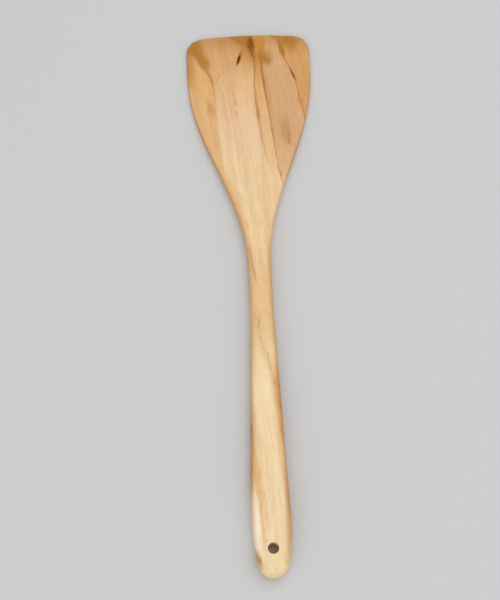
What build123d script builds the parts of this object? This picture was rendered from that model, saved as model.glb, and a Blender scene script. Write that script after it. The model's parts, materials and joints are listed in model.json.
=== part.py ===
from build123d import *
import math
import os

# A one-piece wooden spatula: a long round-edged handle that narrows to a neck and
# spreads into a thin, bow-fronted blade, all carved from one board.
# Lengths are in millimetres. The spatula lies on its flat underside with +Z up and
# +Y from the handle's end to the blade's front edge. The origin is on the underside,
# in the middle of the length and of the width. Places are counted from the handle's end.

# Whole
total_length = 330.0

# Handle
handle_width = 21.3
handle_thickness = 11.0
handle_edge_radius = 4.0
bulge_place = 30.0
end_round_share = 0.775

# Neck, from the handle's narrowest place to where the blade starts to spread
neck_place = 157.0
neck_length = 19.0
neck_width = 13.3
neck_thickness = 9.6

# Blade
blade_width = 74.8
blade_thickness = 2.4
blade_edge_radius = 0.8
straight_side_length = 5.5
front_bow_radius = 285.0
front_corner_radius = 10.0

# Hanging hole
hole_diameter = 6.0
hole_place = 15.1
hole_rim = 0.2

# How the widths and thicknesses run from one named place to the next
taper_soft_share = 0.14
spread_start_power = 2.03
spread_end_power = 2.86
thinning_start_power = 1.7
thinning_end_power = 2.2

# The board's underside is planed flat after its edges are rounded
planing_share = 0.1

# Rounded edges are held to these shares of the wood between them
round_thickness_share = 0.47
round_width_share = 0.32

# Stations of the carved stretch between the handle's bulge and the blade's widest place
station_count = 18

# How far each cutter runs past the wood
overrun = 1.0


def taper(share):
    """Return how far a near-straight taper has come, with soft ends, from 0 to 1."""
    soft = taper_soft_share
    slope = 1 / (1 - soft)
    if share < soft:
        return slope * share**2 / (2 * soft)
    if share > 1 - soft:
        return 1 - slope * (1 - share) ** 2 / (2 * soft)
    return slope * (share - soft / 2)


def swell(share, start_power, end_power):
    """Return how far an S-shaped change has come, level at both ends, from 0 to 1."""
    return 1 - (1 - share**start_power) ** end_power


def share_between(place, first, last):
    """Return how far a place is from the first to the last one, held to 0 and 1."""
    return min(max((place - first) / (last - first), 0), 1)


def bow_drop():
    """Return how far the bowed front edge falls back from the middle to the sides."""
    half_width = blade_width / 2
    return front_bow_radius - math.sqrt(front_bow_radius**2 - half_width**2)


def front_place():
    """Return the place of the blade's greatest width, where its straight sides start."""
    return total_length - bow_drop() - front_corner_radius - straight_side_length


def width_at(place):
    """Return the width of the carved stretch at a place along it."""
    narrowed = taper(share_between(place, bulge_place, neck_place))
    spread = swell(
        share_between(place, neck_place + neck_length, front_place()),
        spread_start_power,
        spread_end_power,
    )
    handle_part = handle_width + (neck_width - handle_width) * narrowed
    return handle_part + (blade_width - neck_width) * spread


def thinning_at(place):
    """Return how far the neck has thinned towards the blade at a place, from 0 to 1."""
    share = share_between(place, neck_place, front_place())
    return swell(share, thinning_start_power, thinning_end_power)


def thickness_at(place):
    """Return the finished thickness at a place."""
    narrowed = taper(share_between(place, bulge_place, neck_place))
    handle_part = handle_thickness + (neck_thickness - handle_thickness) * narrowed
    return handle_part + (blade_thickness - neck_thickness) * thinning_at(place)


def edge_radius_at(place):
    """Return the radius of the rounded edges at a place, held by the wood between them."""
    thinned = thinning_at(place)
    radius = handle_edge_radius + (blade_edge_radius - handle_edge_radius) * thinned
    thickness_limit = round_thickness_share * thickness_at(place)
    width_limit = round_width_share * width_at(place)
    return min(radius, thickness_limit, width_limit)


def planing_at(place):
    """Return how much wood below the finished underside is planed off at a place."""
    return planing_share * edge_radius_at(place)


def section(place):
    """Return the rounded cross-section at a place, before the underside is planed."""
    height = thickness_at(place) + planing_at(place)
    middle = thickness_at(place) - height / 2
    outline = RectangleRounded(width_at(place), height, edge_radius_at(place))
    return Plane.XZ.offset(-place) * Pos(0, middle) * outline


def carved_middle():
    """Return the carved stretch from the handle's bulge to the blade's widest place."""
    step = (front_place() - bulge_place) / station_count
    places = [bulge_place + step * index for index in range(station_count + 1)]
    return loft([section(place) for place in places])


def board_stretch(outline, place):
    """Return a plan outline as thick as the board at a place, its free edges rounded.

    The edges on the cross-section at the place stay square, because the wood goes on there.
    """
    height = thickness_at(place) + planing_at(place)
    block = Pos(0, 0, -planing_at(place)) * extrude(outline, height)
    cut_face = block.faces().filter_by(Axis.Y).sort_by_distance((0, place, height / 2))[0]
    cut_edges = cut_face.edges()
    free_edges = [
        edge
        for edge in block.edges().filter_by(Axis.Z, reverse=True)
        if not any(edge.is_same(other) for other in cut_edges)
    ]
    return fillet(free_edges, edge_radius_at(place))


def handle_end():
    """Return the rounded end of the handle, from its tip to its bulge."""
    half_width = handle_width / 2
    tip_radius = end_round_share * half_width
    side_radius = (half_width**2 + bulge_place**2 - 2 * bulge_place * tip_radius) / (
        2 * (half_width - tip_radius)
    )
    turn = math.atan2(bulge_place - tip_radius, side_radius - half_width)
    meet_x = tip_radius * math.cos(turn)
    meet_y = tip_radius - tip_radius * math.sin(turn)
    tip = ThreePointArc((-meet_x, meet_y), (0, 0), (meet_x, meet_y))
    right = TangentArc((half_width, bulge_place), (meet_x, meet_y), tangent=(0, -1))
    left = TangentArc((-half_width, bulge_place), (-meet_x, meet_y), tangent=(0, -1))
    back = Line((-half_width, bulge_place), (half_width, bulge_place))
    outline = make_face([tip, right, back, left])
    return board_stretch(outline, bulge_place)


def blade_front():
    """Return the last stretch of the blade, with its bowed edge and round corners."""
    half_width = blade_width / 2
    side_end = total_length - bow_drop()
    bow = ThreePointArc((-half_width, side_end), (0, total_length), (half_width, side_end))
    right = Line((half_width, side_end), (half_width, front_place()))
    back = Line((half_width, front_place()), (-half_width, front_place()))
    left = Line((-half_width, front_place()), (-half_width, side_end))
    outline = make_face([bow, right, back, left])
    corners = outline.vertices().group_by(Axis.Y)[-1]
    return board_stretch(fillet(corners, front_corner_radius), front_place())


def underside_waste():
    """Return the wood below the finished underside, which the plane takes off."""
    reach = total_length + 2 * overrun
    breadth = blade_width + handle_width
    waste = Box(breadth, reach, handle_thickness, align=(Align.CENTER, Align.MIN, Align.MAX))
    return Pos(0, -overrun, 0) * waste


def hanging_hole():
    """Return the drill's path through the handle's end, with an eased rim at each mouth."""
    radius = hole_diameter / 2
    wide = radius + hole_rim
    drill = Cylinder(radius, handle_thickness + 2 * overrun)
    upper_rim = Cone(radius, wide + overrun, hole_rim + overrun)
    lower_rim = Cone(wide + overrun, radius, hole_rim + overrun)
    rim_height = (handle_thickness - hole_rim + overrun) / 2
    path = drill + Pos(0, 0, rim_height) * upper_rim + Pos(0, 0, -rim_height) * lower_rim
    return Pos(0, hole_place, handle_thickness / 2) * path


def spatula():
    """Return the whole spatula in its own frame."""
    blank = handle_end() + carved_middle() + blade_front()
    finished = blank - underside_waste() - hanging_hole()
    return Pos(0, -total_length / 2, 0) * finished


os.makedirs("parts", exist_ok=True)
export_step(spatula(), "parts/spatula.step")
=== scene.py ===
"""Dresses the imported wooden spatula: one carved board with a thin, satin oiled finish.

The spatula lies on its flat underside with +Z up and +Y from the handle's end to the
blade's front edge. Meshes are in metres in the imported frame. The figure of the wood is
told in millimetres: how far across the board, and how far from the handle's end.
"""

from __future__ import annotations

import json
import logging
import math
from collections.abc import Iterable
from dataclasses import dataclass
from enum import Enum
from functools import cached_property

import bmesh
import bpy
from mathutils import Matrix, Vector, noise

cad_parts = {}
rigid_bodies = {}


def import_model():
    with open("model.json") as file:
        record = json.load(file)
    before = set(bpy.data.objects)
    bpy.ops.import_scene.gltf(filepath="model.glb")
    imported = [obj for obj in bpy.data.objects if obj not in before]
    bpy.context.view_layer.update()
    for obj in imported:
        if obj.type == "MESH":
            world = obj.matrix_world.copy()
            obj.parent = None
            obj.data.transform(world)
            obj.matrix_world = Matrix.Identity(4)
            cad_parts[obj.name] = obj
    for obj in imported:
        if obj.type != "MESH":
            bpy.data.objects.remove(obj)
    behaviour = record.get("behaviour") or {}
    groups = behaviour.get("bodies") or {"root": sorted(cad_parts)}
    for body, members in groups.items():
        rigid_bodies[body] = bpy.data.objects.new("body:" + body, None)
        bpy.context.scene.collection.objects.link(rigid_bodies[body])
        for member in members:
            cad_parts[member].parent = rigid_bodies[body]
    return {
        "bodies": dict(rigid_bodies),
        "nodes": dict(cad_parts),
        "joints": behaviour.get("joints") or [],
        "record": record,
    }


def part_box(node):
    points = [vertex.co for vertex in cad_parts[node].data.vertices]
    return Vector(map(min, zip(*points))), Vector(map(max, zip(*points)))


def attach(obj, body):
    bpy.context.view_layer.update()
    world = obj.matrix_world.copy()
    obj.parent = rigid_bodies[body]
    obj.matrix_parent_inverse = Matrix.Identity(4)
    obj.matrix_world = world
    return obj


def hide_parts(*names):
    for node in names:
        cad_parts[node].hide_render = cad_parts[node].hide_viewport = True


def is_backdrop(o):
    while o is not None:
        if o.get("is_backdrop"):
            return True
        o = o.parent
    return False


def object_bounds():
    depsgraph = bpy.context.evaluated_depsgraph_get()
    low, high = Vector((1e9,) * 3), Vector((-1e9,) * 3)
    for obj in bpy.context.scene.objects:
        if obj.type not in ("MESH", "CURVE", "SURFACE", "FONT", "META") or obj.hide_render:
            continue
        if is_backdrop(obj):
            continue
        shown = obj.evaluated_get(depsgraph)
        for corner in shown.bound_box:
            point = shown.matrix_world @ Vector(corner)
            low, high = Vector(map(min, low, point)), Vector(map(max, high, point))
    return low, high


LOG = logging.getLogger("wooden_spatula")
MILLIMETRE = 0.001

# Half the side of the blank as it is first laid, and half a step once it is counted out
HALF_STEP = 0.5

# How near two points or two heights count as the same, in metres
SAME_POINT = 1e-6
SAME_HEIGHT = 1e-7

# The middle of every noise, and where a new point of a curve or ramp starts
MIDDLE = 0.5

# The display curve: its full scale, its straight foot, and the power above it
FULL_SCALE = 255
FOOT_END, FOOT_SLOPE = 0.04045, 12.92
CURVE_OFFSET, CURVE_POWER = 0.055, 2.4

# Where a mix node keeps its share, its two colours and their mix, among sockets of the same names
MIX_INPUTS = (0, 6, 7)
MIX_RESULT = 2

# How far off the middle the figure's lines may lie, and how far the fibres drift, in millimetres
LINE_RANGE = (-40.0, 40.0)
DRIFT_RANGE = (0.0, 50.0)

# How a fibre layer's seed shifts it along the board, and how fast it changes through the wood
SEED_SKEW = 1.7
DEPTH_RATE = 0.6

Pair = tuple[float, float]
Knots = tuple[Pair, ...]
Shade = tuple[int, int, int]
Colour = tuple[float, float, float, float]
Socket = bpy.types.NodeSocket
Value = Socket | float | tuple[float, ...]
Inputs = Iterable[tuple[str | int, Value]]

WHITE: Colour = (1.0, 1.0, 1.0, 1.0)


class Side(Enum):
    """The side of a line in the figure that a tint lies on."""

    LEFT = -1
    RIGHT = 1


class Tone(Enum):
    """Named tones of the oiled wood, as display values from 0 to 255."""

    CREAM = (255, 236, 210)
    HONEY = (252, 228, 186)
    SAND = (244, 214, 169)
    BLUSH = (242, 205, 166)
    STRAW = (237, 202, 150)
    PEACH = (236, 195, 147)
    APRICOT = (230, 184, 124)
    WHEAT = (224, 175, 122)
    ROSE = (219, 173, 127)
    AMBER = (219, 166, 105)
    TAN = (204, 152, 92)
    CLAY = (206, 152, 106)
    COPPER = (204, 139, 62)
    OCHRE = (182, 122, 46)
    RUSSET = (146, 80, 6)
    UMBER = (76, 36, 0)


# Lines of the blade's figure, as places with how far right of the middle each lies
LEFT_EDGE: Knots = (
    (197, -9.7), (226, -14.4), (243, -17.3), (276, -20.2),
    (292, -21.2), (302, -23.4), (314, -29), (326, -34),
)
LEFT_BAND: Knots = (
    (290, -21.2), (294, -21.6), (299, -22.4), (303, -24.2),
    (307, -26.6), (310, -28.6), (314, -30.2), (319, -32.2), (326, -35),
)
FIRST_LINE: Knots = (
    (246, 8.2), (252, 7.3), (258, 6.2), (268, 5.3),
    (280, 4), (292, 3.2), (313, 3.7), (326, 3),
)
SECOND_LINE: Knots = (
    (230, 17.1), (239, 15.2), (248, 14.2), (273, 11.6), (286, 10.2), (300, 8.7), (324, 7.4),
)
THIRD_LINE: Knots = ((272, 32.4), (284, 30.3), (299, 27.7), (305, 25.8), (314, 22.1), (328, 18.3))

# The path of the painted shade along the handle's rounded left edge
HANDLE_LEFT_SHADE: Knots = (
    (50, -9.4), (62, -8.2), (75, -8.1), (88, -8.8),
    (97, -9.5), (108, -9.3), (130, -8.6), (150, -8),
)

# How far the fibres have drifted sideways at places along the board
GRAIN_DRIFT: Knots = (
    (0, 0), (30, 0.8), (60, 3.5), (90, 8), (120, 13.5), (150, 19.5),
    (175, 23.5), (200, 27), (240, 32), (280, 36.5), (330, 43),
)


def linear(shade: Shade) -> Colour:
    """Turn a display shade into the linear colour that a shader reads.

    Args:
        shade: Red, green and blue from 0 to 255.

    Returns:
        Red, green, blue and a full alpha.
    """
    light = []
    for value in shade:
        part = value / FULL_SCALE
        curved = ((part + CURVE_OFFSET) / (1 + CURVE_OFFSET)) ** CURVE_POWER
        light.append(part / FOOT_SLOPE if part <= FOOT_END else curved)
    return *light, 1.0


def share_between(value: float, first: float, last: float) -> float:
    """Return how far a value is from the first to the last one, held to 0 and 1."""
    return min(max((value - first) / (last - first), 0.0), 1.0)


def smooth_between(value: float, first: float, last: float) -> float:
    """Return how far a value is from the first to the last one, level at both ends."""
    share = share_between(value, first, last)
    return share * share * (3 - 2 * share)


def as_shares(knots: Knots, length: float) -> Knots:
    """Return knots with their places as shares of a length."""
    return tuple((at / length, value) for at, value in knots)


def swell(share: float, powers: Pair) -> float:
    """Return how far an S-shaped change has come, level at both ends."""
    return 1 - (1 - share ** powers[0]) ** powers[1]


def add_object(name: str, data: bpy.types.ID) -> bpy.types.Object:
    """Add an object to the scene.

    Args:
        name: Its name.
        data: Its mesh, light or camera.

    Returns:
        The new object, at the origin.
    """
    item = bpy.data.objects.new(name, data)
    bpy.context.scene.collection.objects.link(item)
    return item


def add_shape(name: str, shape: bmesh.types.BMesh) -> bpy.types.Object:
    """Turn a finished shape into an object of the scene.

    Args:
        name: The name of the object and of its mesh.
        shape: The shape, which is freed.

    Returns:
        The new object, at the origin.
    """
    mesh = bpy.data.meshes.new(name)
    shape.to_mesh(mesh)
    shape.free()
    return add_object(name, mesh)


@dataclass(frozen=True)
class SpatulaSizes:
    """Sizes of the spatula in metres, and how they run from its end to its front.

    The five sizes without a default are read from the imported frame.
    """

    length: float
    blade_width: float
    handle_thickness: float
    hole_place: float
    hole_radius: float
    handle_width: float = 0.0213
    handle_edge_radius: float = 0.0040
    bulge_place: float = 0.0300
    end_round_share: float = 0.775
    neck_place: float = 0.1570
    neck_length: float = 0.0190
    neck_width: float = 0.0133
    neck_thickness: float = 0.0096
    blade_thickness: float = 0.0024
    blade_edge_radius: float = 0.0008
    straight_side: float = 0.0055
    front_bow_radius: float = 0.2850
    front_corner_radius: float = 0.0100
    hole_rim: float = 0.0002
    taper_soft_share: float = 0.14
    spread_powers: Pair = (2.03, 2.86)
    thinning_powers: Pair = (1.7, 2.2)
    planing_share: float = 0.1

    @classmethod
    def measured(cls, frame: dict) -> SpatulaSizes:
        """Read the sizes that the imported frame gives.


        Returns:
            The sizes, with the rest at their defaults.
        """
        low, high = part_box("spatula")
        length = high.y - low.y
        hole = next(mount for mount in frame["record"]["mounts"] if mount["kind"] == "bore")
        return cls(
            length=length,
            blade_width=high.x - low.x,
            handle_thickness=high.z - low.z,
            hole_place=hole["pos_m"][1] + length / 2,
            hole_radius=hole["dims"]["r_mm"] * MILLIMETRE,
        )

    @property
    def bow_drop(self) -> float:
        """How far the bowed front falls back from its middle to the blade's sides."""
        return self.front_bow_radius - math.sqrt(self.front_bow_radius**2 - (self.blade_width / 2) ** 2)

    @property
    def widest_place(self) -> float:
        """Where the blade reaches its full width."""
        return self.length - self.bow_drop - self.front_corner_radius - self.straight_side

    def taper(self, place: float) -> float:
        """Return how far the handle has narrowed from its bulge to the neck.

        Args:
            place: Metres from the handle's end.

        Returns:
            A near-straight taper with soft ends, from 0 to 1.
        """
        share, soft = share_between(place, self.bulge_place, self.neck_place), self.taper_soft_share
        slope = 1 / (1 - soft)
        if share < soft:
            return slope * share**2 / (2 * soft)
        if share > 1 - soft:
            return 1 - slope * (1 - share) ** 2 / (2 * soft)
        return slope * (share - soft / 2)

    def spread(self, place: float) -> float:
        """Return how far the blade has spread at a place, from 0 to 1."""
        share = share_between(place, self.neck_place + self.neck_length, self.widest_place)
        return swell(share, self.spread_powers)

    def thinning(self, place: float) -> float:
        """Return how far the wood has thinned from neck to front, from 0 to 1."""
        return swell(share_between(place, self.neck_place, self.widest_place), self.thinning_powers)

    def width_at(self, place: float) -> float:
        """Return the width between the bulge and the blade's full width."""
        handle = self.handle_width + (self.neck_width - self.handle_width) * self.taper(place)
        return handle + (self.blade_width - self.neck_width) * self.spread(place)

    def thickness_at(self, place: float) -> float:
        """Return the thickness at a place."""
        handle = self.handle_thickness + (self.neck_thickness - self.handle_thickness) * self.taper(place)
        return handle + (self.blade_thickness - self.neck_thickness) * self.thinning(place)

    def edge_radius_at(self, place: float) -> float:
        """Return the radius of the rounded edges at a place."""
        loss = self.handle_edge_radius - self.blade_edge_radius
        return self.handle_edge_radius - loss * self.thinning(place)


@dataclass(frozen=True)
class ArcRun:
    """One arc of the right half of the plan outline, from its first to its last angle."""

    centre: Vector
    radius: float
    first: float
    last: float

    @property
    def length(self) -> float:
        """The arc's length."""
        return self.radius * (self.last - self.first)

    def at(self, distance: float) -> tuple[Vector, Vector]:
        """Find a point of the arc.

        Args:
            distance: How far along the arc.

        Returns:
            The point, and the way out of the wood there.
        """
        angle = self.first + distance / self.radius
        outward = Vector((math.cos(angle), math.sin(angle)))
        return self.centre + outward * self.radius, outward


@dataclass(frozen=True)
class CarvedRun:
    """The long carved side from the bulge to the front corner, counted by its place."""

    sizes: SpatulaSizes
    first: float
    last: float

    @property
    def length(self) -> float:
        """How many metres of place the side covers."""
        return self.last - self.first

    def at(self, distance: float) -> tuple[Vector, Vector]:
        """Find a point of the carved side.

        Args:
            distance: How far along the side.

        Returns:
            The point, and the way out of the wood there.
        """
        place = self.first + distance
        rise = self.sizes.width_at(place + MILLIMETRE) - self.sizes.width_at(place - MILLIMETRE)
        slope = rise / 2 / (2 * MILLIMETRE)
        return Vector((self.sizes.width_at(place) / 2, place)), Vector((1, -slope)).normalized()


@dataclass(frozen=True)
class Outline:
    """The right half of the plan outline, travelled from the handle's end to the front."""

    sizes: SpatulaSizes

    @cached_property
    def runs(self) -> tuple[ArcRun | CarvedRun, ...]:
        """The end's arcs, the carved side, the front corner and the bow, end to end."""
        sizes = self.sizes
        half, bulge = sizes.handle_width / 2, sizes.bulge_place
        tip = sizes.end_round_share * half
        flank = (half**2 + bulge**2 - 2 * bulge * tip) / (2 * (half - tip))
        turn = math.atan2(bulge - tip, flank - half)
        corner, bow = sizes.front_corner_radius, sizes.front_bow_radius
        corner_x = sizes.blade_width / 2 - corner
        bow_centre = sizes.length - bow
        corner_y = bow_centre + math.sqrt((bow - corner) ** 2 - corner_x**2)
        lean = math.atan2(corner_y - bow_centre, corner_x)
        return (
            ArcRun(Vector((0, tip)), tip, -math.pi / 2, -turn),
            ArcRun(Vector((half - flank, bulge)), flank, -turn, 0.0),
            CarvedRun(sizes, bulge, corner_y),
            ArcRun(Vector((corner_x, corner_y)), corner, 0.0, lean),
            ArcRun(Vector((0, bow_centre)), bow, lean, math.pi / 2),
        )

    @property
    def length(self) -> float:
        """The whole travel from the middle of the end to the middle of the front."""
        return sum(run.length for run in self.runs)

    def travel_at(self, place: float) -> float:
        """Return the travel to a place on the handle's end flank or on the carved side.

        Args:
            place: Metres from the handle's end.

        Returns:
            Metres along the outline.
        """
        tip, flank, carved = self.runs[:3]
        if place >= carved.first:
            return tip.length + flank.length + place - carved.first
        angle = math.asin((place - flank.centre.y) / flank.radius)
        return tip.length + flank.radius * (angle - flank.first)

    def at(self, travel: float) -> tuple[Vector, Vector]:
        """Find a point of the outline.

        Args:
            travel: Metres along the outline.

        Returns:
            The point, and the way out of the wood there.
        """
        for run in self.runs[:-1]:
            if travel <= run.length:
                return run.at(travel)
            travel -= run.length
        return self.runs[-1].at(travel)


@dataclass(frozen=True)
class BoardCounts:
    """How the half board is divided into columns, rows and levels of its control mesh."""

    columns: int = 8
    hole_columns: int = 4
    tip_rows: int = 7
    hole_rows: int = 8
    end_rows: int = 6
    long_rows: int = 66
    front_rows: int = 12
    levels: int = 8

    @property
    def last_hole_row(self) -> int:
        """The last row of the block that the hole takes out, which starts after the tip's rows."""
        return self.tip_rows + self.hole_rows

    @property
    def bulge_row(self) -> int:
        """The row at the handle's bulge."""
        return self.last_hole_row + self.end_rows

    @property
    def front_row(self) -> int:
        """The row where the rows begin to bend round the bowed front."""
        return self.bulge_row + self.long_rows

    @property
    def rows(self) -> int:
        """All rows."""
        return self.front_row + self.front_rows

    @property
    def marked_rows(self) -> tuple[int, ...]:
        """The rows that lie at places of their own, from the handle's end to the front."""
        return 0, self.tip_rows, self.last_hole_row, self.bulge_row, self.front_row, self.rows


@dataclass(frozen=True)
class SpatulaBody:
    """The carved wood: handle, neck and blade in one board."""

    sizes: SpatulaSizes
    counts: BoardCounts
    finish: OiledWood

    # Layout of the control mesh
    block_reach: float = 0.0035
    tip_corner: float = math.radians(50)
    front_bend_place: float = 0.3000
    crowding: float = 1.7
    round_levels: int = 4
    under_levels: int = 2
    surface_levels: int = 2

    # Rings of the hole's wall, and how the faces round its mouths are relaxed
    rim_ring_share: float = 0.3
    wall_ring_share: float = 0.2
    mouth_margin: float = 1.05
    easing_reach: float = 2.4
    easing_rounds: int = 10
    easing_factor: float = 0.5

    # Crowned faces, with slow waves along and across them
    crown_handle: float = 0.00030
    crown_blade: float = 0.00010
    waviness: float = 0.00007
    wave_rates: Pair = (40, 16)
    wave_seed: float = 2.7

    # Sides that are pinched here and there
    unevenness: float = 0.00016
    pinch_rate: float = 22
    pinch_seeds: Pair = (1.7, 0.4)

    # The middle line's stray: its reach, its wave, and where it comes in and goes out
    wander: float = 0.0005
    wander_start: float = 0.080
    wander_length: float = 0.340
    wander_comes: Pair = (0.025, 0.060)
    wander_goes: Pair = (0.270, 0.310)

    @cached_property
    def outline(self) -> Outline:
        """The right half of the plan outline."""
        return Outline(self.sizes)

    def make(self) -> bpy.types.Object:
        """Carve the board and finish it with one subdivision surface.

        Returns:
            The spatula's object, at the origin.
        """
        board = bmesh.new()
        self._cut_blank(board)
        for vert in board.verts:
            vert.co = self._carved(*(round(part) for part in vert.co))
        self._mirror(board)
        self._ease_round_hole(board)
        self._finish_by_hand(board)
        for vert in board.verts:
            vert.co.y -= self.sizes.length / 2
        for face in board.faces:
            face.smooth = True
        body = add_shape("spatula_body", board)
        surface = body.modifiers.new("carved_surface", "SUBSURF")
        surface.levels = surface.render_levels = self.surface_levels
        return body

    def dress(self, body: bpy.types.Object) -> None:
        """Give the carved wood its finish and tie it to the frame.

        Args:
            body: The spatula's object.
        """
        body.data.materials.append(self.finish.make())
        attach(body, "root")
        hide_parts("spatula")

    def _cut_blank(self, board: bmesh.types.BMesh) -> None:
        """Cut the half board as a block whose corners count columns, rows and levels.

        Args:
            board: The empty mesh to fill.
        """
        counts = self.counts
        bmesh.ops.create_grid(board, x_segments=counts.columns, y_segments=counts.rows, size=HALF_STEP)
        bmesh.ops.translate(board, verts=board.verts, vec=(HALF_STEP, HALF_STEP, 0))
        bmesh.ops.scale(board, verts=board.verts, vec=(counts.columns, counts.rows, 1))
        block = [face for face in board.faces if self._in_block(face.calc_center_median())]
        bmesh.ops.delete(board, geom=block, context="FACES")
        thick = bmesh.ops.extrude_face_region(board, geom=board.faces[:])["geom"]
        raised = [part for part in thick if isinstance(part, bmesh.types.BMVert)]
        bmesh.ops.translate(board, verts=raised, vec=(0, 0, counts.levels))
        middle = [face for face in board.faces if all(vert.co.x < HALF_STEP for vert in face.verts)]
        bmesh.ops.delete(board, geom=middle, context="FACES")
        posts = [edge for edge in board.edges if abs(edge.verts[0].co.z - edge.verts[1].co.z) > HALF_STEP]
        bmesh.ops.subdivide_edges(board, edges=posts, cuts=counts.levels - 1, use_grid_fill=True)

    def _in_block(self, middle: Vector) -> bool:
        """Return whether a counted point lies in the block that the hole takes out."""
        counts = self.counts
        return middle.x < counts.hole_columns and counts.tip_rows < middle.y < counts.last_hole_row

    @staticmethod
    def _mirror(board: bmesh.types.BMesh) -> None:
        """Add the left half, join it along the middle and turn every face outwards.

        Args:
            board: The carved right half.
        """
        geom = board.verts[:] + board.edges[:] + board.faces[:]
        bmesh.ops.mirror(board, geom=geom, matrix=Matrix.Identity(4), merge_dist=SAME_POINT, axis="X")
        bmesh.ops.remove_doubles(board, verts=board.verts, dist=SAME_POINT)
        bmesh.ops.recalc_face_normals(board, faces=board.faces)

    def _carved(self, column: int, row: int, level: int) -> Vector:
        """Return where one counted corner of the blank ends up on the right half.

        Args:
            column: Columns from the middle line.
            row: Rows from the handle's end.
            level: Levels from the underside.

        Returns:
            The point in metres, its place counted from the handle's end.
        """
        counts = self.counts
        if column == counts.columns or row in (0, counts.rows):
            return self._rim(self._rim_travel(column, row), level)
        in_hole_rows = counts.tip_rows <= row <= counts.last_hole_row
        if column <= counts.hole_columns and in_hole_rows:
            return self._hole_wall(column, row, level)
        return self._land(column, row, level)

    def _between_marks(self, values: tuple[float, ...], row: int) -> float:
        """Return the value at a row, on straight lines between the marked rows.

        Args:
            values: The value at each marked row.
            row: Rows from the handle's end.

        Returns:
            The value at the row.
        """
        marks = self.counts.marked_rows
        for first, last, start, end in zip(marks, marks[1:], values, values[1:]):
            if row <= last:
                return start + (end - start) * (row - first) / (last - first)
        return values[-1]

    def _side_travel(self, row: int) -> float:
        """Return the travel along the outline to the outer end of a row.

        Args:
            row: Rows from the handle's end.

        Returns:
            Metres along the outline.
        """
        outline, hole = self.outline, self.sizes.hole_place
        values = (
            outline.runs[0].radius * self.tip_corner,
            outline.travel_at(hole - self.block_reach),
            outline.travel_at(hole + self.block_reach),
            outline.travel_at(self.sizes.bulge_place),
            outline.travel_at(self.front_bend_place),
            outline.length - outline.runs[-1].length - outline.runs[-2].length / 2,
        )
        return self._between_marks(values, row)

    def _middle_place(self, row: int, level: int) -> float:
        """Return the place of a row on the middle line of a face.

        Args:
            row: Rows from the handle's end.
            level: The face's level.

        Returns:
            Metres from the handle's end.
        """
        hole = self.sizes.hole_place
        values = (
            self._rim(0.0, level).y,
            hole - self.block_reach,
            hole + self.block_reach,
            self.sizes.bulge_place,
            self.front_bend_place,
            self._rim(self.outline.length, level).y,
        )
        return self._between_marks(values, row)

    def _column_share(self, column: int, row: int) -> float:
        """Return how far out a column lies, crowded to the corners at the front.

        Args:
            column: Columns from the middle line.
            row: Rows from the handle's end.

        Returns:
            A share of the half width, from 0 to 1.
        """
        even = column / self.counts.columns
        crowded = 1 - (1 - even) ** self.crowding
        start = self.counts.front_row - self.counts.front_rows
        return even + (crowded - even) * smooth_between(row, start, self.counts.rows)

    def _rim_travel(self, column: int, row: int) -> float:
        """Return the travel along the outline to a corner on the blank's outer edge.

        Args:
            column: Columns from the middle line.
            row: Rows from the handle's end.

        Returns:
            Metres along the outline.
        """
        if column == self.counts.columns:
            return self._side_travel(row)
        reach = self._column_share(column, row)
        if row == 0:
            return self._side_travel(0) * reach
        whole = self.outline.length
        return whole - (whole - self._side_travel(self.counts.rows)) * reach

    def _rim(self, travel: float, level: int) -> Vector:
        """Return a point on the rounded edge.

        Args:
            travel: How far round the outline.
            level: Levels from the underside. The upper half rounds the top edge, and the
                lowest levels round the lower edge down to the planed underside.

        Returns:
            The point in metres.
        """
        point, outward = self.outline.at(travel)
        radius = self.sizes.edge_radius_at(point.y)
        wall_top, wall_foot = self.counts.levels - self.round_levels, self.under_levels
        underside = radius * (1 - self.sizes.planing_share)
        if level >= wall_top:
            angle = math.pi / 2 * (level - wall_top) / self.round_levels
            plan = point - outward * radius * (1 - math.cos(angle))
            height = self.sizes.thickness_at(plan.y) - radius * (1 - math.sin(angle))
        elif level > wall_foot:
            plan = point
            share = (level - wall_foot) / (wall_top - wall_foot)
            height = underside + (self.sizes.thickness_at(point.y) - radius - underside) * share
        else:
            last = math.asin(1 - self.sizes.planing_share)
            angle = last * (wall_foot - level) / wall_foot
            plan = point - outward * radius * (1 - math.cos(angle))
            height = underside - radius * math.sin(angle)
        return Vector((plan.x, plan.y, height))

    def _hole_wall(self, column: int, row: int, level: int) -> Vector:
        """Return a point on the hanging hole's wall or on one of its eased mouths.

        Args:
            column: Columns from the middle line.
            row: Rows from the handle's end.
            level: Levels from the underside.

        Returns:
            The point in metres.
        """
        counts, sizes = self.counts, self.sizes
        all_steps = 2 * counts.hole_columns + counts.hole_rows
        if row == counts.tip_rows:
            step = column
        elif row == counts.last_hole_row:
            step = all_steps - column
        else:
            step = counts.hole_columns + row - counts.tip_rows
        angle = math.pi * step / all_steps
        rim, thickness = sizes.hole_rim, sizes.thickness_at(sizes.hole_place)
        rings = (
            (rim, 0.0),
            (rim * self.rim_ring_share, rim * self.rim_ring_share),
            (0.0, rim),
            (0.0, thickness * self.wall_ring_share),
            (0.0, thickness / 2),
        )
        wider, depth = rings[min(level, counts.levels - level)]
        radius = sizes.hole_radius + wider
        height = thickness - depth if level > counts.levels / 2 else depth
        return Vector((radius * math.sin(angle), sizes.hole_place - radius * math.cos(angle), height))

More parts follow.
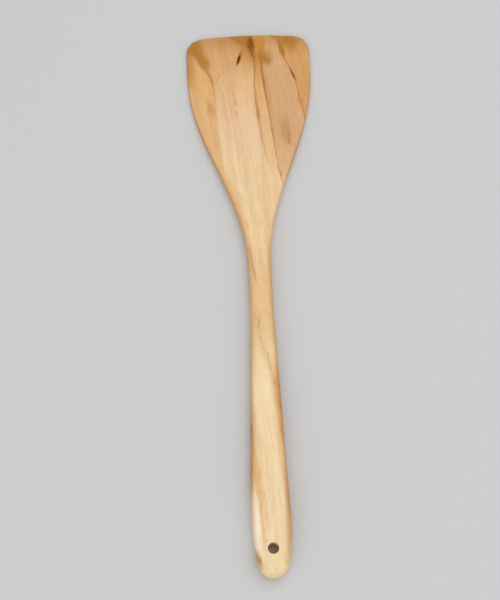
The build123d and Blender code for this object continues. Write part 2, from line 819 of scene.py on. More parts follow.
    def _land(self, column: int, row: int, level: int) -> Vector:
        """Return a point on the upper or lower face, inside its rounded edge.

        Args:
            column: Columns from the middle line.
            row: Rows from the handle's end.
            level: The face's level.

        Returns:
            The point in metres.
        """
        counts = self.counts
        share = self._column_share(column, row)
        middle = Vector((0.0, self._middle_place(row, level)))
        plan = middle.lerp(self._rim(self._side_travel(row), level).xy, share)
        tip_fade = 1 - share_between(row, 0, counts.tip_rows)
        front_fade = share_between(row, counts.front_row, counts.rows)
        for end_row, fade in ((0, tip_fade), (counts.rows, front_fade)):
            if fade > 0:
                plan += self._end_bend(column, end_row, level) * fade
        height = self.sizes.thickness_at(plan.y) if level else 0.0
        return Vector((plan.x, plan.y, height))

    def _end_bend(self, column: int, end_row: int, level: int) -> Vector:
        """Return how far an end's curve leaves its own chord at a column.

        Args:
            column: Columns from the middle line.
            end_row: The first or the last row.
            level: The face's level.

        Returns:
            The step from the chord to the curve, seen from above.
        """
        share = self._column_share(column, end_row)
        near = self._rim(self._rim_travel(0, end_row), level).xy
        far = self._rim(self._side_travel(end_row), level).xy
        curved = self._rim(self._rim_travel(column, end_row), level).xy
        return curved - near.lerp(far, share)

    def _ease_round_hole(self, board: bmesh.types.BMesh) -> None:
        """Relax the faces round the hole, so that they flow round it.

        Args:
            board: The whole carved mesh, its places counted from the handle's end.
        """
        sizes = self.sizes
        centre = Vector((0, sizes.hole_place))
        wall = sizes.hole_radius + sizes.hole_rim * self.mouth_margin
        reach = sizes.hole_radius * self.easing_reach
        flat = (0.0, sizes.thickness_at(sizes.hole_place))
        near = [
            vert
            for vert in board.verts
            if wall < (vert.co.xy - centre).length < reach
            and any(abs(vert.co.z - height) < SAME_HEIGHT for height in flat)
            and all(abs(edge.other_vert(vert).co.z - vert.co.z) < SAME_HEIGHT for edge in vert.link_edges)
        ]
        for _ in range(self.easing_rounds):
            bmesh.ops.smooth_vert(
                board, verts=near, factor=self.easing_factor, use_axis_x=True, use_axis_y=True
            )

    def _finish_by_hand(self, board: bmesh.types.BMesh) -> None:
        """Give the wood the small departures of hand work.

        The faces and the sides only lose wood, and the middle line strays a little.

        Args:
            board: The whole carved mesh, its places counted from the handle's end.
        """
        sizes = self.sizes
        for vert in board.verts:
            across, place, height = vert.co
            held = min(max(place, sizes.bulge_place), sizes.widest_place)
            half = sizes.width_at(held) / 2
            lift = height / sizes.thickness_at(place)
            crown = self.crown_handle + (self.crown_blade - self.crown_handle) * sizes.thinning(place)
            wave = self._uneven(across * self.wave_rates[0], place * self.wave_rates[1], self.wave_seed)
            vert.co.z -= lift * (crown * min(abs(across) / half, 1) ** 2 + self.waviness * wave)
            side_seed = math.copysign(self.pinch_seeds[0], across)
            pinch = self._uneven(side_seed, place * self.pinch_rate, self.pinch_seeds[1])
            vert.co.x -= across / half * self.unevenness * pinch
            vert.co.x += self._wander_at(place)

    @staticmethod
    def _uneven(*point: float) -> float:
        """Return a slowly changing value from 0 to 1 at a point of a noise."""
        return noise.noise(Vector(point)) / 2 + MIDDLE

    def _wander_at(self, place: float) -> float:
        """Return how far the middle line strays, which is nothing at the hole and the front.

        Args:
            place: Metres from the handle's end.

        Returns:
            Metres to the right.
        """
        sway = math.sin(2 * math.pi * (place - self.wander_start) / self.wander_length)
        fade = smooth_between(place, *self.wander_comes) * (1 - smooth_between(place, *self.wander_goes))
        return self.wander * sway * fade


@dataclass(frozen=True)
class NodeBench:
    """Adds nodes to one node tree and joins them up."""

    tree: bpy.types.NodeTree

    def feed(self, socket: Socket, value: Value) -> None:
        """Join an input to another node's output, or set it to a plain value.

        Args:
            socket: The input.
            value: An output, a number, or the numbers of a vector or a colour.
        """
        if isinstance(value, Socket):
            self.tree.links.new(value, socket)
        else:
            socket.default_value = value

    def add(self, kind: str, inputs: Inputs = (), **settings: object) -> bpy.types.Node:
        """Add a node.

        Args:
            kind: Blender's own name of the node type.
            inputs: The names or numbers of inputs, each with what to feed it.
            settings: Properties to set on the node first.

        Returns:
            The new node.
        """
        node = self.tree.nodes.new(kind)
        for name, value in settings.items():
            setattr(node, name, value)
        for key, value in inputs:
            self.feed(node.inputs[key], value)
        return node

    def coordinate(self, name: str) -> tuple[Socket, ...]:
        """Return the three parts of a texture coordinate, by its output's name."""
        source = self.add("ShaderNodeTexCoord")
        return tuple(self.add("ShaderNodeSeparateXYZ", ((0, source.outputs[name]),)).outputs)

    def math(self, operation: str, *values: Value) -> Socket:
        """Return the result of a sum on sockets or numbers."""
        return self.add("ShaderNodeMath", enumerate(values), operation=operation).outputs[0]

    def times(self, first: Value, second: Value) -> Socket:
        """Return two values multiplied."""
        return self.math("MULTIPLY", first, second)

    def times_add(self, first: Value, second: Value, third: Value) -> Socket:
        """Return two values multiplied, and a third one added."""
        return self.math("MULTIPLY_ADD", first, second, third)

    def vector(self, *parts: Value) -> Socket:
        """Return a vector made of its parts, with nothing for a missing one."""
        return self.add("ShaderNodeCombineXYZ", enumerate(parts)).outputs[0]

    def smooth(self, value: Value, low: float, high: float) -> Socket:
        """Return a soft step from 0 at the low value to 1 at the high one."""
        inputs = (("Value", value), ("From Min", low), ("From Max", high))
        return self.add("ShaderNodeMapRange", inputs, interpolation_type="SMOOTHSTEP").outputs["Result"]

    def noise(self, vector: Value, detail: float = 2.0) -> Socket:
        """Return a cloud of values round 0.5 whose grains are one unit wide."""
        inputs = (("Vector", vector), ("Scale", 1.0), ("Detail", detail))
        return self.add("ShaderNodeTexNoise", inputs).outputs["Fac"]

    def cloud(self, across: Value, place: Value, rates: Pair) -> Socket:
        """Return noise over the board, with so many grains in a millimetre across and along."""
        return self.noise(self.vector(self.times(across, rates[0]), self.times(place, rates[1])))

    def mix(self, share: Value, under: Value, over: Value, blend: str = "MIX", label: str = "") -> Socket:
        """Lay a colour over another one.

        Args:
            share: How much of the upper colour, from 0 to 1.
            under: The colour underneath.
            over: The colour laid on it.
            blend: Blender's own name of the way it is laid on.
            label: What the node is for.

        Returns:
            The mixed colour.
        """
        inputs = zip(MIX_INPUTS, (share, under, over))
        settings = {"data_type": "RGBA", "blend_type": blend, "label": label}
        return self.add("ShaderNodeMix", inputs, **settings).outputs[MIX_RESULT]

    def shade(self, colour: Value, factor: Value) -> Socket:
        """Return a colour made lighter or darker by a factor."""
        inputs = ((0, colour), ("Scale", factor))
        return self.add("ShaderNodeVectorMath", inputs, operation="SCALE").outputs[0]

    def curve(self, share: Value, knots: Knots, span: Pair) -> Socket:
        """Return a value that follows a smooth curve through knots.

        Args:
            share: The place to read the curve at, as a share of the whole length.
            knots: Shares of the length with the value at each.
            span: The least and the greatest value that the curve is stored for.

        Returns:
            The value at the place.
        """
        low, high = span
        node = self.add("ShaderNodeFloatCurve", (("Value", share),))
        node.mapping.use_clip = False
        node.mapping.extend = "EXTRAPOLATED"
        line = node.mapping.curves[0]
        for _ in knots[2:]:
            line.points.new(MIDDLE, MIDDLE)
        for point, (at, value) in zip(line.points, sorted(knots)):
            point.location = (at, (value - low) / (high - low))
        node.mapping.update()
        return self.times_add(node.outputs[0], high - low, low)

    def ramp(self, share: Value, stops: list[tuple[float, Colour]]) -> Socket:
        """Return a colour that eases from stop to stop.

        Args:
            share: The place to read it at, as a share of the whole length.
            stops: Shares of the length, in order, with the colour at each.

        Returns:
            The colour at the place.
        """
        node = self.add("ShaderNodeValToRGB", ((0, share),))
        node.color_ramp.interpolation = "EASE"
        elements = node.color_ramp.elements
        for _ in stops[2:]:
            elements.new(MIDDLE)
        for element, (at, colour) in zip(elements, stops):
            element.position = at
            element.color = colour
        return node.outputs[0]


@dataclass(frozen=True)
class Fibres:
    """One layer of strands that run with the grain, in millimetres."""

    width: float
    length: float
    seed: float
    depth: float = 1.0
    shown: Pair = (0.42, 0.80)
    detail: float = 2.0

    def noise(self, board: Board) -> Socket:
        """Return the layer's noise, drawn out along the grain.

        Args:
            board: The board's places.

        Returns:
            Values round 0.5.
        """
        bench = board.bench
        parts = (
            bench.times_add(board.grain, 1 / self.width, self.seed),
            bench.times_add(board.place, 1 / self.length, self.seed * SEED_SKEW),
            bench.times(board.height, DEPTH_RATE / self.width),
        )
        return bench.noise(bench.vector(*parts), self.detail)

    def mask(self, board: Board) -> Socket:
        """Return where the strands show, from 0 to 1."""
        return board.bench.smooth(self.noise(board), *self.shown)


@dataclass(frozen=True)
class Board:
    """The places that every part of the figure reads, in millimetres, and its bench."""

    bench: NodeBench
    length: float
    share: Socket
    across: Socket
    place: Socket
    height: Socket
    grain: Socket
    torn: Socket
    plain: Socket
    patch_fibres: Fibres = Fibres(1.8, 14, 3.3)

    @cached_property
    def patches(self) -> Socket:
        """The one noise that makes every stain and streak come and go along the fibres."""
        return self.patch_fibres.noise(self)

    def right_of(self, line: Knots) -> Socket:
        """Return how far right of a line of the figure a point lies, in millimetres."""
        curve = self.bench.curve(self.share, as_shares(line, self.length), LINE_RANGE)
        return self.bench.math("SUBTRACT", self.across, curve)

    def strength(self, knots: Knots) -> Socket:
        """Return a strength that changes along the length."""
        stops = [(at / self.length, (value, value, value, 1.0)) for at, value in knots]
        return self.bench.ramp(self.share, stops)


class Mark:
    """A part of the figure that is laid over the colour underneath in a tone of its own."""

    name: str
    tone: Tone

    def cover(self, board: Board) -> Socket:
        """Return how fully the mark covers each point, from 0 to 1."""
        raise NotImplementedError

    def paint(self, board: Board, colour: Socket) -> Socket:
        """Return the colour so far with the mark laid over it."""
        return board.bench.mix(self.cover(board), colour, linear(self.tone.value), label=self.name)


@dataclass(frozen=True)
class Zone(Mark):
    """A tinted part of the wood to one side of a line, stronger and weaker along it."""

    name: str
    edge: Knots
    side: Side
    softness: float
    tone: Tone
    presence: Knots

    def cover(self, board: Board) -> Socket:
        """Return how fully the zone covers each point.

        Args:
            board: The board's places.

        Returns:
            A cover from 0 to 1.
        """
        reach = self.side.value * self.softness
        mask = board.bench.smooth(board.right_of(self.edge), -reach, reach)
        return board.bench.times(mask, board.strength(self.presence))


@dataclass(frozen=True)
class Streak(Mark):
    """A narrow darker or paler line that runs with the grain, or a band of painted shade along a rounded
    edge.
    """

    name: str
    path: Knots
    left_width: float
    right_width: float
    tone: Tone
    strength: Knots
    patch_gain: float = 1.3
    patch_base: float = 0.35

    def cover(self, board: Board) -> Socket:
        """Return how fully the streak covers each point.

        Args:
            board: The board's places.

        Returns:
            A cover from 0 to 1, fullest on the path.
        """
        bench = board.bench
        off = board.right_of(self.path)
        left = bench.smooth(off, -self.left_width, 0.0)
        right = bench.smooth(off, self.right_width, 0.0)
        body = bench.times(left, right)
        patchy = bench.times_add(board.patches, self.patch_gain, self.patch_base)
        share = bench.times(body, bench.times(board.strength(self.strength), patchy))
        return bench.math("MINIMUM", share, 1.0)


@dataclass(frozen=True)
class Dashes(Mark):
    """A stretch of short dark strokes that lie with the grain round a path."""

    name: str
    path: Knots
    reach: float
    tone: Tone
    strength: Knots
    strokes: Fibres

    def cover(self, board: Board) -> Socket:
        """Return how fully the strokes cover each point.

        Args:
            board: The board's places.

        Returns:
            A cover from 0 to 1.
        """
        bench = board.bench
        off = bench.math("ABSOLUTE", board.right_of(self.path))
        near = bench.times(bench.smooth(off, self.reach, 0.0), board.strength(self.strength))
        return bench.times(near, self.strokes.mask(board))


@dataclass(frozen=True)
class Spot(Mark):
    """A stain, knot, pale patch, painted highlight or painted shade: a long oval that leans, with a full
    core.
    """

    name: str
    across: float
    place: float
    half_width: float
    half_length: float
    lean: float
    tone: Tone
    strength: float
    core: float = 0.1
    patchiness: float = 0.5
    ragged: bool = True

    def cover(self, board: Board) -> Socket:
        """Return how fully the spot covers each point.

        Args:
            board: The board's places.

        Returns:
            A cover from 0 to 1, fullest in the core.
        """
        bench = board.bench
        oval = (
            ("Vector", board.torn if self.ragged else board.plain),
            ("Location", (self.across, self.place, 0.0)),
            ("Rotation", (0.0, 0.0, -math.radians(self.lean))),
            ("Scale", (self.half_width, self.half_length, 1.0)),
        )
        frame = bench.add("ShaderNodeMapping", oval, vector_type="TEXTURE")
        reach = bench.add("ShaderNodeVectorMath", ((0, frame.outputs[0]),), operation="LENGTH")
        mask = bench.smooth(reach.outputs["Value"], 1.0, self.core)
        patchy = bench.times_add(board.patches, self.patchiness * 2, 1 - self.patchiness)
        share = bench.times(mask, bench.times(patchy, self.strength))
        return bench.math("MINIMUM", share, 1.0)


@dataclass(frozen=True)
class OiledWood:
    """Pale fruitwood with brown heart streaks, sanded by hand and thinly oiled, with some painted shade and
    a painted highlight in its colour.
    """

    length: float
    hole_place: float
    hole_radius: float

    # How far the darkening of the hole's wall reaches into the wood: its darker end grain, deepened with
    # painted shade
    hole_shade_reach: float = 0.25

    # How the figure leans through the board, and how its lines wander and fray
    lean: float = 0.15
    line_wander: float = 0.7
    slow_rates: Pair = (0.05, 0.018)
    quick_rates: Pair = (0.30, 0.08)
    fray_rates: Pair = (0.8, 0.16)
    fray_across: float = 3.0
    fray_along: float = 4.0

    # The ground's tones along the board, its slow mottle, and the strands in it
    ground: tuple[tuple[float, Tone], ...] = (
        (0, Tone.HONEY), (106, Tone.HONEY), (140, Tone.STRAW), (172, Tone.STRAW), (196, Tone.SAND),
        (240, Tone.SAND), (270, Tone.BLUSH), (294, Tone.PEACH), (313, Tone.WHEAT), (330, Tone.TAN),
    )
    mottle: float = 0.06
    mottle_rates: Pair = (0.22, 0.07)
    band_tint: Shade = (232, 212, 184)
    strands: tuple[Fibres, ...] = (
        Fibres(6.5, 150, 11.3, 0.38),
        Fibres(2.6, 70, 23.1, 0.26),
        Fibres(0.9, 26, 5.7, 0.30),
        Fibres(0.35, 9, 41.9, 0.48, detail=3.0),
    )

    # Dark strokes by the lines, and pores all over
    strokes: Fibres = Fibres(0.5, 6, 76.5, 1.0, (0.58, 0.70), 1.0)
    middle_strokes: Fibres = Fibres(0.5, 6, 85, 1.0, (0.58, 0.70), 1.0)
    fine_pores: Fibres = Fibres(0.28, 3.2, 71.3, 0.40, (0.66, 0.78), 1.0)
    long_pores: Fibres = Fibres(0.7, 9, 57.9, 0.36, (0.72, 0.80), 1.0)

    # The painted shade of the rounded sides, and how far up the surface faces where it starts and where it
    # is full
    side_shade_tint: Shade = (240, 222, 204)
    side_shade_facing: Pair = (0.98, 0.50)
    side_shade_presence: Knots = ((0, 0), (12, 0.2), (36, 1), (120, 1), (150, 0.5), (220, 0.5), (260, 1))

    # The sheen of the oil, and the relief of strands and pores, its depth in metres
    sheen: Fibres = Fibres(0.45, 20, 87.1)
    roughness: float = 0.52
    roughness_spread: float = 0.16
    specular_level: float = 0.16
    pore_depth: float = 0.8
    relief_strength: float = 0.25
    relief_depth: float = 0.00012

    @classmethod
    def fitted(cls, sizes: SpatulaSizes) -> OiledWood:
        """Return the finish for a board of these sizes, its own sizes in millimetres."""
        length, place, radius = sizes.length, sizes.hole_place, sizes.hole_radius
        return cls(round(length / MILLIMETRE, 3), place / MILLIMETRE, radius / MILLIMETRE)

    def make(self) -> bpy.types.Material:
        """Build the finish.

        Returns:
            The material, procedural and read from Object coordinates.
        """
        material = bpy.data.materials.new("oiled_wood")
        material.use_nodes = True
        material.node_tree.nodes.clear()
        bench = NodeBench(material.node_tree)
        board = self._lay_out(bench)
        stops = [(at / self.length, linear(tone.value)) for at, tone in self.ground]
        colour = bench.ramp(board.share, stops)
        for zone in self.zones():
            colour = zone.paint(board, colour)
        colour = self._bands(board, colour)
        for mark in (*self.streaks(), *self.dashes(), *self.spots()):
            colour = mark.paint(board, colour)
        colour, pores = self._pores(board, colour)
        colour = self._painted_side_shade(board, colour)
        self._surface(board, colour, pores)
        return material

    def _lay_out(self, bench: NodeBench) -> Board:
        """Turn Object coordinates into the board's places in millimetres.

        Args:
            bench: The material's bench.

        Returns:
            The board's places.
        """
        parts = bench.coordinate("Object")
        across = bench.times(parts[0], 1 / MILLIMETRE)
        place = bench.times_add(parts[1], 1 / MILLIMETRE, self.length / 2)
        height = bench.times(parts[2], 1 / MILLIMETRE)
        leaned = bench.times_add(height, self.lean, across)
        slow = bench.cloud(leaned, place, self.slow_rates)
        quick = bench.cloud(leaned, place, self.quick_rates)
        stray = bench.math("SUBTRACT", bench.math("ADD", slow, quick), 2 * MIDDLE)
        wandered = bench.times_add(stray, self.line_wander * 2, leaned)
        share = bench.times(place, 1 / self.length)
        drift = bench.curve(share, as_shares(GRAIN_DRIFT, self.length), DRIFT_RANGE)
        grain = bench.math("ADD", drift, wandered)
        fray = bench.cloud(grain, place, self.fray_rates)
        frayed = bench.times_add(bench.math("SUBTRACT", fray, MIDDLE), self.fray_across, wandered)
        start = bench.math("SUBTRACT", place, self.fray_along * MIDDLE)
        torn = bench.vector(frayed, bench.times_add(fray, self.fray_along, start))
        plain = bench.vector(across, place)
        return Board(bench, self.length, share, wandered, place, height, grain, torn, plain)

    def zones(self) -> tuple[Zone, ...]:
        """Return the tinted zones of the blade, from the first laid to the last."""
        return (
            Zone("left_gold", LEFT_EDGE, Side.LEFT, 1.1, Tone.APRICOT,
                 ((175, 0), (205, 0.7), (245, 0.8), (300, 0.95))),
            Zone("heart_gold", FIRST_LINE, Side.RIGHT, 0.8, Tone.APRICOT,
                 ((230, 0), (246, 0.5), (262, 0.5), (290, 0.85), (312, 0.9))),
            Zone("rose_heart", SECOND_LINE, Side.RIGHT, 0.8, Tone.ROSE,
                 ((224, 0), (236, 0.6), (272, 0.85), (300, 0.9))),
            Zone("right_amber", THIRD_LINE, Side.RIGHT, 0.7, Tone.AMBER,
                 ((262, 0), (276, 0.8), (298, 0.9), (312, 0.9))),
        )

    def streaks(self) -> tuple[Streak, ...]:
        """Return the streaks, from the blade's front to the handle's end, with painted shade along the
        handle's rounded edges.
        """
        return (
            Streak("left_band", LEFT_BAND, 1.6, 11, Tone.OCHRE,
                   ((309, 0), (316, 0.85), (320, 1.05), (330, 1))),
            Streak("left_band_foot", LEFT_BAND, 1.5, 3.6, Tone.OCHRE,
                   ((292, 0), (299, 0.55), (304, 0.8), (312, 0.8), (320, 0.4), (326, 0))),
            Streak("left_line",
                   ((304, -24.4), (299, -22.4), (294, -21.6), (288, -20.9), (280, -20.3), (270, -19.8)),
                   1.5, 1.2, Tone.OCHRE, ((268, 0), (280, 0.3), (292, 0.42), (298, 0.4), (304, 0))),
            Streak("left_blush", ((272, -18), (258, -17), (244, -15.4), (230, -13.2)),
                   1.6, 1.8, Tone.BLUSH, ((228, 0), (244, 0.25), (262, 0.6), (274, 0))),
            Streak("shoulder_pale", ((262, -11.5), (246, -10.6), (236, -9.2), (224, -6.8), (214, -4.6)),
                   2.4, 2.4, Tone.HONEY, ((216, 0), (228, 0.4), (246, 0.45), (256, 0.3), (264, 0))),
            Streak("first_line", FIRST_LINE, 0.9, 1.5, Tone.OCHRE,
                   ((242, 0), (250, 0.4), (268, 0.4), (274, 0.75), (292, 0.7), (298, 0.8), (312, 1))),
            Streak("second_line", SECOND_LINE, 0.9, 0.9, Tone.OCHRE,
                   ((222, 0), (235, 0.6), (244, 0.4), (254, 0.5), (264, 0.7), (284, 1.1), (306, 1.3),
                    (316, 0.6))),
            Streak("second_line_head", ((318, 7.6), (308, 8), (298, 8.9), (288, 10)),
                   1.3, 1.2, Tone.OCHRE, ((288, 0), (296, 1), (306, 1.3), (314, 1), (322, 0))),
            Streak("third_line", THIRD_LINE, 1, 0.9, Tone.OCHRE,
                   ((268, 0), (274, 0.85), (286, 0.75), (292, 0.42), (302, 0.7), (318, 0.9))),
            Streak("shoulder_left",
                   ((246, -20), (223, -13.6), (211, -10.6), (197, -8.2), (184, -6.6), (160, -5.8)),
                   5, 6, Tone.APRICOT, ((150, 0), (168, 0.5), (186, 0.8), (208, 1.1), (228, 0.8), (246, 0))),
            Streak("neck_line", ((192, -3.9), (182, -2.9), (172, -1.6), (160, 0.4)),
                   1.6, 1, Tone.TAN, ((160, 0), (171, 0.7), (184, 0.6), (194, 0))),
            Streak("handle_line", ((150, -3), (138, -1), (128, 0.8), (117, 3.6), (106, 6.6)),
                   0.6, 1.2, Tone.TAN, ((104, 0), (116, 0.25), (134, 0.3), (148, 0.2), (156, 0))),
            # Painted shade: a brown band along the handle's rounded right edge.
            Streak("handle_right", ((124, 7.2), (97, 8.7), (86, 9.2), (60, 10), (30, 10.2), (12, 9)),
                   4.9, 2.6, Tone.AMBER, ((4, 0), (18, 0.28), (60, 0.38), (84, 0.9), (104, 1.05), (128, 0))),
            # Painted shade: a band along the rounded right edge of the handle's end.
            Streak("end_right_shade", ((62, 10.3), (36, 10.6), (22, 10.3), (10, 8.5)),
                   2.8, 3, Tone.TAN, ((2, 0), (10, 0.35), (22, 0.6), (38, 0.55), (52, 0.5), (64, 0.2))),
            # Painted shade: a brown band along the handle's rounded left edge.
            Streak("handle_left", HANDLE_LEFT_SHADE, 3.2, 4.6, Tone.TAN,
                   ((37, 0), (44, 0.35), (51, 0.8), (62, 0.95), (86, 1), (96, 0.9), (112, 0.7), (128, 0.45),
                    (150, 0))),
            Streak("end_wedge",
                   ((78, -8.6), (68, -7.6), (58, -6.6), (52, -5.9), (47, -5.6), (42, -4.9), (36, -4.3)),
                   1.8, 5, Tone.APRICOT, ((30, 0), (38, 0.4), (46, 0.75), (55, 1.2), (64, 0.9), (80, 0))),
            Streak("end_line", ((58, -5.3), (42, -4.1), (26, -3.9), (12, -3.8)),
                   1.2, 4.2, Tone.AMBER, ((10, 0), (20, 0.4), (38, 0.5), (54, 0))),
            Streak("end_line_twin", ((50, -2), (34, -1.2), (20, -0.9)),
                   0.6, 0.8, Tone.AMBER, ((20, 0), (30, 0.4), (42, 0.3), (52, 0))),
        )

    def dashes(self) -> tuple[Dashes, ...]:
        """Return the stretches of short dark strokes."""
        return (
            Dashes("handle_dashes", ((150, -1.4), (141, 0.3), (126, 1.8), (113, 4), (102, 7.3), (90, 9.4)),
                   4.5, Tone.OCHRE, ((84, 0), (96, 0.6), (128, 0.75), (139, 0.6), (150, 0.1), (160, 0)),
                   self.strokes),
            Dashes("end_dashes", ((82, -9), (62, -5), (44, -3), (28, -2)),
                   4.5, Tone.OCHRE, ((22, 0), (36, 0.5), (64, 0.6), (84, 0)), self.strokes),
            Dashes("middle_dashes", ((310, -13), (283, -8.8), (262, -7), (240, -4)),
                   5, Tone.OCHRE, ((232, 0), (250, 0.3), (290, 0.4), (312, 0)), self.middle_strokes),
        )

    def spots(self) -> tuple[Spot, ...]:
        """Return the stains, the knot, the pale patches, a painted highlight at the handle's end and the
        hole's wall darkened by its end grain and painted shade.
        """
        reach = self.hole_radius + self.hole_shade_reach
        return (
            Spot("left_margin", -38, 309, 9, 24, 0, Tone.OCHRE, 0.8, 0, 0.2),
            Spot("left_corner", -34, 321, 8, 10, -40, Tone.OCHRE, 0.95, 0.1, 0.2),
            Spot("left_patch", -23.8, 280, 3, 10, -14, Tone.OCHRE, 0.45),
            Spot("left_wedge", -26, 312, 4.4, 9, -24, Tone.OCHRE, 0.85, 0.2, 0.3),
            Spot("left_mark", -18.3, 303.4, 0.9, 2, -30, Tone.OCHRE, 0.6, 0, 0.3, False),
            Spot("left_mark_foot", -18.9, 300.2, 0.8, 2, 20, Tone.OCHRE, 0.6, 0, 0.3, False),
            Spot("middle_mark", -8.8, 283, 0.7, 4, 4, Tone.TAN, 0.5),
            Spot("middle_mark_foot", -8.3, 276, 1, 2.4, 0, Tone.TAN, 0.45),
            Spot("front_wash", 2, 331, 24, 16, 0, Tone.COPPER, 0.6, 0, 0.2),
            Spot("flame_arm", -3, 327.2, 5.4, 11.4, -66, Tone.OCHRE, 1.6, 0.2, 0.2),
            Spot("flame_wash", 0.6, 320.5, 8.5, 17, -14, Tone.OCHRE, 0.75, 0.1, 0.2),
            Spot("heart_wash", 6, 306, 3.6, 16, -3, Tone.COPPER, 0.5, 0, 0.3),
            Spot("front_middle", 13.6, 329, 7, 10, 0, Tone.TAN, 1.1, 0.2, 0.2),
            Spot("right_corner", 35, 323, 7, 9, 0, Tone.COPPER, 0.6, 0, 0.2),
            Spot("flame_column", 7.8, 326, 5, 14, 0, Tone.COPPER, 1, 0.4, 0.2),
            Spot("flame_heart", 2.2, 323.4, 3.5, 8.6, -4, Tone.RUSSET, 1.3, 0.1, 0.3),
            Spot("flame_tail", 3.4, 316.6, 1.9, 8, -6, Tone.RUSSET, 0.75, 0),
            Spot("second_blotch", 10, 314.4, 8.6, 9, 0, Tone.OCHRE, 0.95, 0, 0.3),
            Spot("second_blotch_foot", 12.2, 311.8, 3.8, 5, -20, Tone.OCHRE, 1, 0, 0.3),
            Spot("third_line_top", 17.6, 328.4, 3.4, 6, -60, Tone.OCHRE, 0.9, 0, 0.3),
            Spot("third_line_head", 20.8, 320.4, 2.4, 9.4, -14, Tone.OCHRE, 1.4, 0.1, 0.3),
            Spot("right_gold", 25.6, 325.8, 11, 8.5, 0, Tone.OCHRE, 1, 0.2, 0.2),
            Spot("right_gold_drop", 27.2, 319.6, 4.4, 7, 10, Tone.OCHRE, 0.7, 0, 0.3),
            Spot("third_line_dash", 26.6, 301.6, 1.4, 7, -22, Tone.RUSSET, 1.05, 0, 0.2, False),
            Spot("third_line_foot", 30.6, 283.5, 2.2, 6, -15, Tone.COPPER, 0.85),
            Spot("rose_smear", 20.6, 264, 6, 15, -4, Tone.CLAY, 1, 0.1, 0.3),
            Spot("rose_smear_edge", 22, 260, 1.5, 9, -4, Tone.OCHRE, 0.45, 0, 0.3, False),
            Spot("rose_smear_foot", 21.8, 255.8, 1.8, 4.6, -20, Tone.OCHRE, 0.65, 0, 0.3, False),
            Spot("first_line_dash", 4.6, 275, 1.1, 6, -8, Tone.OCHRE, 0.65),
            Spot("hook", 15.9, 235.5, 0.9, 6, -25, Tone.OCHRE, 0.5),
            # A painted highlight: the sheen on the rounded left flank of the handle's end, laid on in cream.
            Spot("end_painted_highlight", -8.9, 27.5, 3.9, 21.5, -3, Tone.CREAM, 1.25, 0.2, 0.3, False),
            Spot("end_stain", -7.2, 10, 3.2, 9, -30, Tone.TAN, 1.15, 0, 0.2),
            # The hole's wall darkened in umber: its end grain, and painted shade in the hole.
            Spot("hole_wall_grain_and_shade", 0, self.hole_place, reach, reach, 0, Tone.UMBER, 0.13, 0.92, 0, False),
            Spot("knot_halo", -5.2, 314.6, 2.2, 8, 17, Tone.OCHRE, 0.8, 0, 0.2, False),
            Spot("knot_ring", -5.6, 313.6, 1.6, 6.2, 17, Tone.RUSSET, 1, 0.1, 0.2, False),
            Spot("knot", -5.9, 313, 1, 4.6, 17, Tone.UMBER, 1.3, 0.2, 0.2, False),
        )

    def _bands(self, board: Board, colour: Socket) -> Socket:
        """Lay the mottle, growth bands, strands and fine fibres over the ground.

        Args:
            board: The board's places.
            colour: The colour so far.

        Returns:
            The colour with the grain on it.
        """
        bench = board.bench
        clouds = bench.cloud(board.grain, board.place, self.mottle_rates)
        colour = bench.shade(colour, bench.times_add(clouds, self.mottle * 2, 1 - self.mottle))
        layers = [(fibres, fibres.noise(board)) for fibres in self.strands]
        for fibres, strands in layers:
            dark = bench.times(bench.smooth(strands, *fibres.shown), fibres.depth)
            colour = bench.mix(dark, colour, linear(self.band_tint), "MULTIPLY")
        return colour

    def _pores(self, board: Board, colour: Socket) -> tuple[Socket, Socket]:
        """Draw the short dark pores and flecks.

        Args:
            board: The board's places.
            colour: The colour so far.

        Returns:
            The colour with pores on it, and where the pores are, from 0 to 1.
        """
        bench, dark = board.bench, linear(Tone.OCHRE.value)
        fine, long = self.fine_pores.mask(board), self.long_pores.mask(board)
        colour = bench.mix(bench.times(fine, self.fine_pores.depth), colour, dark, "MULTIPLY")
        colour = bench.mix(bench.times(long, self.long_pores.depth), colour, dark)
        return colour, bench.math("MAXIMUM", fine, long)

    def _painted_side_shade(self, board: Board, colour: Socket) -> Socket:
        """Darken the rounded sides with painted shade, where they turn away from the light.

        Args:
            board: The board's places.
            colour: The colour so far.

        Returns:
            The colour with the painted shade of the sides on it.
        """
        bench = board.bench
        facing = bench.math("ABSOLUTE", bench.coordinate("Normal")[2])
        # Painted shade: the further a face turns sideways, the more the side tint darkens it.
        side = bench.times(bench.smooth(facing, *self.side_shade_facing), board.strength(self.side_shade_presence))
        return bench.mix(side, colour, linear(self.side_shade_tint), "MULTIPLY")

    def _surface(self, board: Board, colour: Socket, pores: Socket) -> None:
        """Join the colour, the sheen of the oil and the fine relief to the shader.

        Args:
            board: The board's places.
            colour: The finished colour.
            pores: Where the pores are.
        """
        bench = board.bench
        strands = self.sheen.noise(board)
        smoothest = self.roughness - self.roughness_spread / 2
        relief = (
            ("Strength", self.relief_strength),
            ("Distance", self.relief_depth),
            ("Height", bench.times_add(pores, -self.pore_depth, strands)),
        )
        oiled = (
            ("Base Color", colour),
            ("Roughness", bench.times_add(strands, self.roughness_spread, smoothest)),
            ("Specular IOR Level", self.specular_level),
            ("Normal", bench.add("ShaderNodeBump", relief).outputs[0]),
        )
        shader = bench.add("ShaderNodeBsdfPrincipled", oiled)
        bench.add("ShaderNodeOutputMaterial", (("Surface", shader.outputs[0]),))


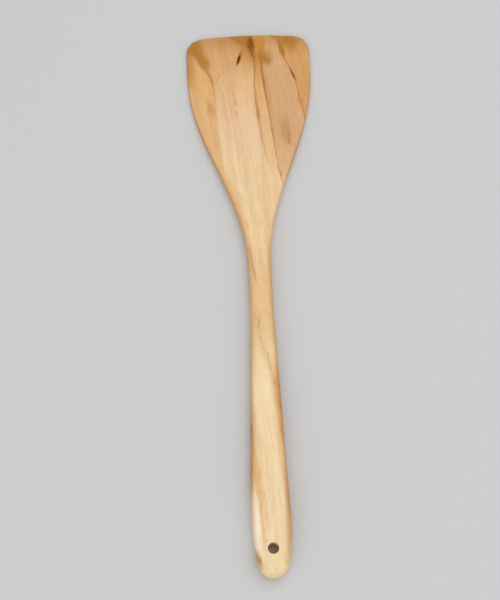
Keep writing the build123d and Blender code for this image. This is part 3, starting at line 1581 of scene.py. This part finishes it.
@dataclass(frozen=True)
class StudioCamera:
    """The camera, looking down on the spatula as the picture does."""

    across: float = -0.01734
    place: float = -0.2602
    height: float = 0.6964
    off_plumb: float = math.radians(20)
    turn: float = math.radians(2.590)
    half_field: float = math.radians(13)
    sensor: float = 36.0
    nearest: float = 0.01
    farthest: float = 20.0

    def make(self) -> bpy.types.Object:
        """Place the camera and make it the scene's own.

        Returns:
            The camera's object.
        """
        data = bpy.data.cameras.new("camera")
        data.sensor_fit = "AUTO"
        data.sensor_width = self.sensor
        data.lens = self.sensor / 2 / math.tan(self.half_field)
        data.clip_start, data.clip_end = self.nearest, self.farthest
        right = Vector((math.cos(self.turn), -math.sin(self.turn), 0))
        ahead = Vector((math.sin(self.turn), math.cos(self.turn), 0)) * math.sin(self.off_plumb)
        back = -(ahead + Vector((0, 0, -math.cos(self.off_plumb))))
        turned = Matrix((right, back.cross(right), back)).transposed().to_quaternion()
        stand = Vector((self.across, self.place, self.height))
        camera = add_object("camera", data)
        camera.matrix_world = Matrix.LocRotScale(stand, turned, None)
        bpy.context.scene.camera = camera
        return camera


@dataclass(frozen=True)
class SoftPanel:
    """One soft light panel above the floor, aimed at the middle of the spatula."""

    name: str
    width: float
    depth: float
    power: float
    position: tuple[float, float, float]

    def make(self) -> bpy.types.Object:
        """Hang the panel.

        Returns:
            The light's object.
        """
        data = bpy.data.lights.new(self.name, "AREA")
        data.shape = "RECTANGLE"
        data.size, data.size_y = self.width, self.depth
        data.energy = self.power
        panel = add_object(self.name, data)
        panel.location = self.position
        panel.rotation_euler = Vector(self.position).to_track_quat("Z", "Y").to_euler()
        return panel


@dataclass(frozen=True)
class Studio:
    """A plain pale floor under soft, even light."""

    floor_radius: float = 3.0
    floor_sides: int = 96
    floor_drop: float = 0.0001
    floor_shade: Shade = (208, 209, 210)
    floor_roughness: float = 0.9
    world_light: float = 0.60
    panels: tuple[SoftPanel, ...] = (
        SoftPanel("overhead_panel", 1.6, 1.6, 9.0, (0.45, 0.30, 1.45)),
        SoftPanel("near_left_panel", 1.4, 1.0, 5.0, (-0.60, -1.20, 1.00)),
    )

    def make(self) -> None:
        """Lay the floor, set the world and hang the panels."""
        self._floor()
        self._world()
        for panel in self.panels:
            panel.make()

    def _floor(self) -> None:
        """Lay the floor just under the spatula."""
        disc = bmesh.new()
        bmesh.ops.create_circle(disc, cap_ends=True, segments=self.floor_sides, radius=self.floor_radius)
        bmesh.ops.translate(disc, verts=disc.verts, vec=(0, 0, -self.floor_drop))
        bmesh.ops.recalc_face_normals(disc, faces=disc.faces)
        floor = add_shape("floor", disc)
        material = bpy.data.materials.new("pale_floor")
        material.use_nodes = True
        shader = material.node_tree.nodes["Principled BSDF"]
        shader.inputs["Base Color"].default_value = linear(self.floor_shade)
        shader.inputs["Roughness"].default_value = self.floor_roughness
        floor.data.materials.append(material)
        floor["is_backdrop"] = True

    def _world(self) -> None:
        """Light the room evenly from all round."""
        world = bpy.data.worlds.new("soft_room")
        bpy.context.scene.world = world
        world.use_nodes = True
        light = world.node_tree.nodes["Background"]
        light.inputs["Color"].default_value = WHITE
        light.inputs["Strength"].default_value = self.world_light


def main() -> None:
    """Build the spatula and its studio in order, and report each piece."""
    logging.basicConfig(level=logging.INFO, format="%(name)s: %(message)s")
    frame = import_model()
    cad_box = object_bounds()
    bpy.context.scene.view_settings.view_transform = "Standard"

    sizes = SpatulaSizes.measured(frame)
    LOG.info("sizes: %.1f mm long, %.1f mm wide", sizes.length / MILLIMETRE, sizes.blade_width / MILLIMETRE)
    spatula = SpatulaBody(sizes, BoardCounts(), OiledWood.fitted(sizes))
    body = spatula.make()
    spatula.dress(body)
    LOG.info("body: %d faces before its surface is subdivided", len(body.data.polygons))

    Studio().make()
    camera = StudioCamera().make()
    LOG.info("studio: floor, light and %s", camera.name)

    boxes = {"cad": cad_box, "visual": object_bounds()}
    plain = {name: [list(corner) for corner in box] for name, box in boxes.items()}
    LOG.info("box: %s", plain["visual"])


if __name__ == "__main__":
    main()
